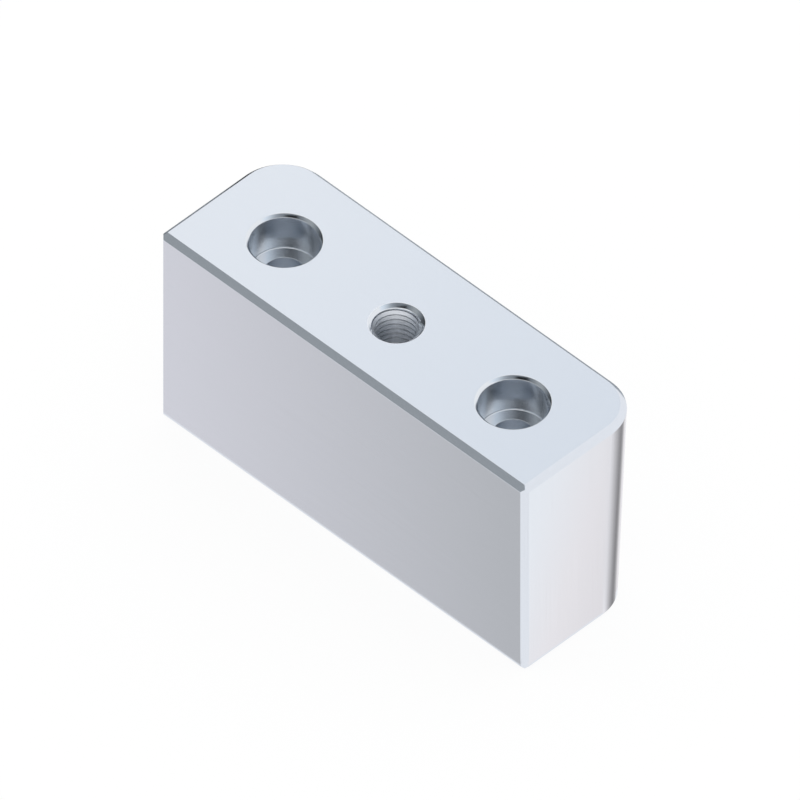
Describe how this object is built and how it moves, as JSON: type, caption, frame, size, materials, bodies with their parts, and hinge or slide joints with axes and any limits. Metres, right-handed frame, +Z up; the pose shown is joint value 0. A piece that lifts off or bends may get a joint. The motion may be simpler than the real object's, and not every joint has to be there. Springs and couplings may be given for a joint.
{
  "type": "mold wedge block",
  "caption": "Rectangular steel wedge block for moulds, with a slightly tapered rear face, rounded rear corners, counterbored screw holes at the ends and a threaded jack hole between them.",
  "frame": {"origin": "on the base face, midway between the axes of the two screw holes", "axes": "+X along the length, +Y from the upright front face to the tapered rear face, +Z up from the base face to the counterbored top face"},
  "size_m": [0.08, 0.027, 0.04],
  "materials": {
    "ground_steel": "fine ground, satin, with chamfered edges"
  },
  "bodies": {
    "root": {"wedge_block": "ground_steel"}
  },
  "joints": []
}
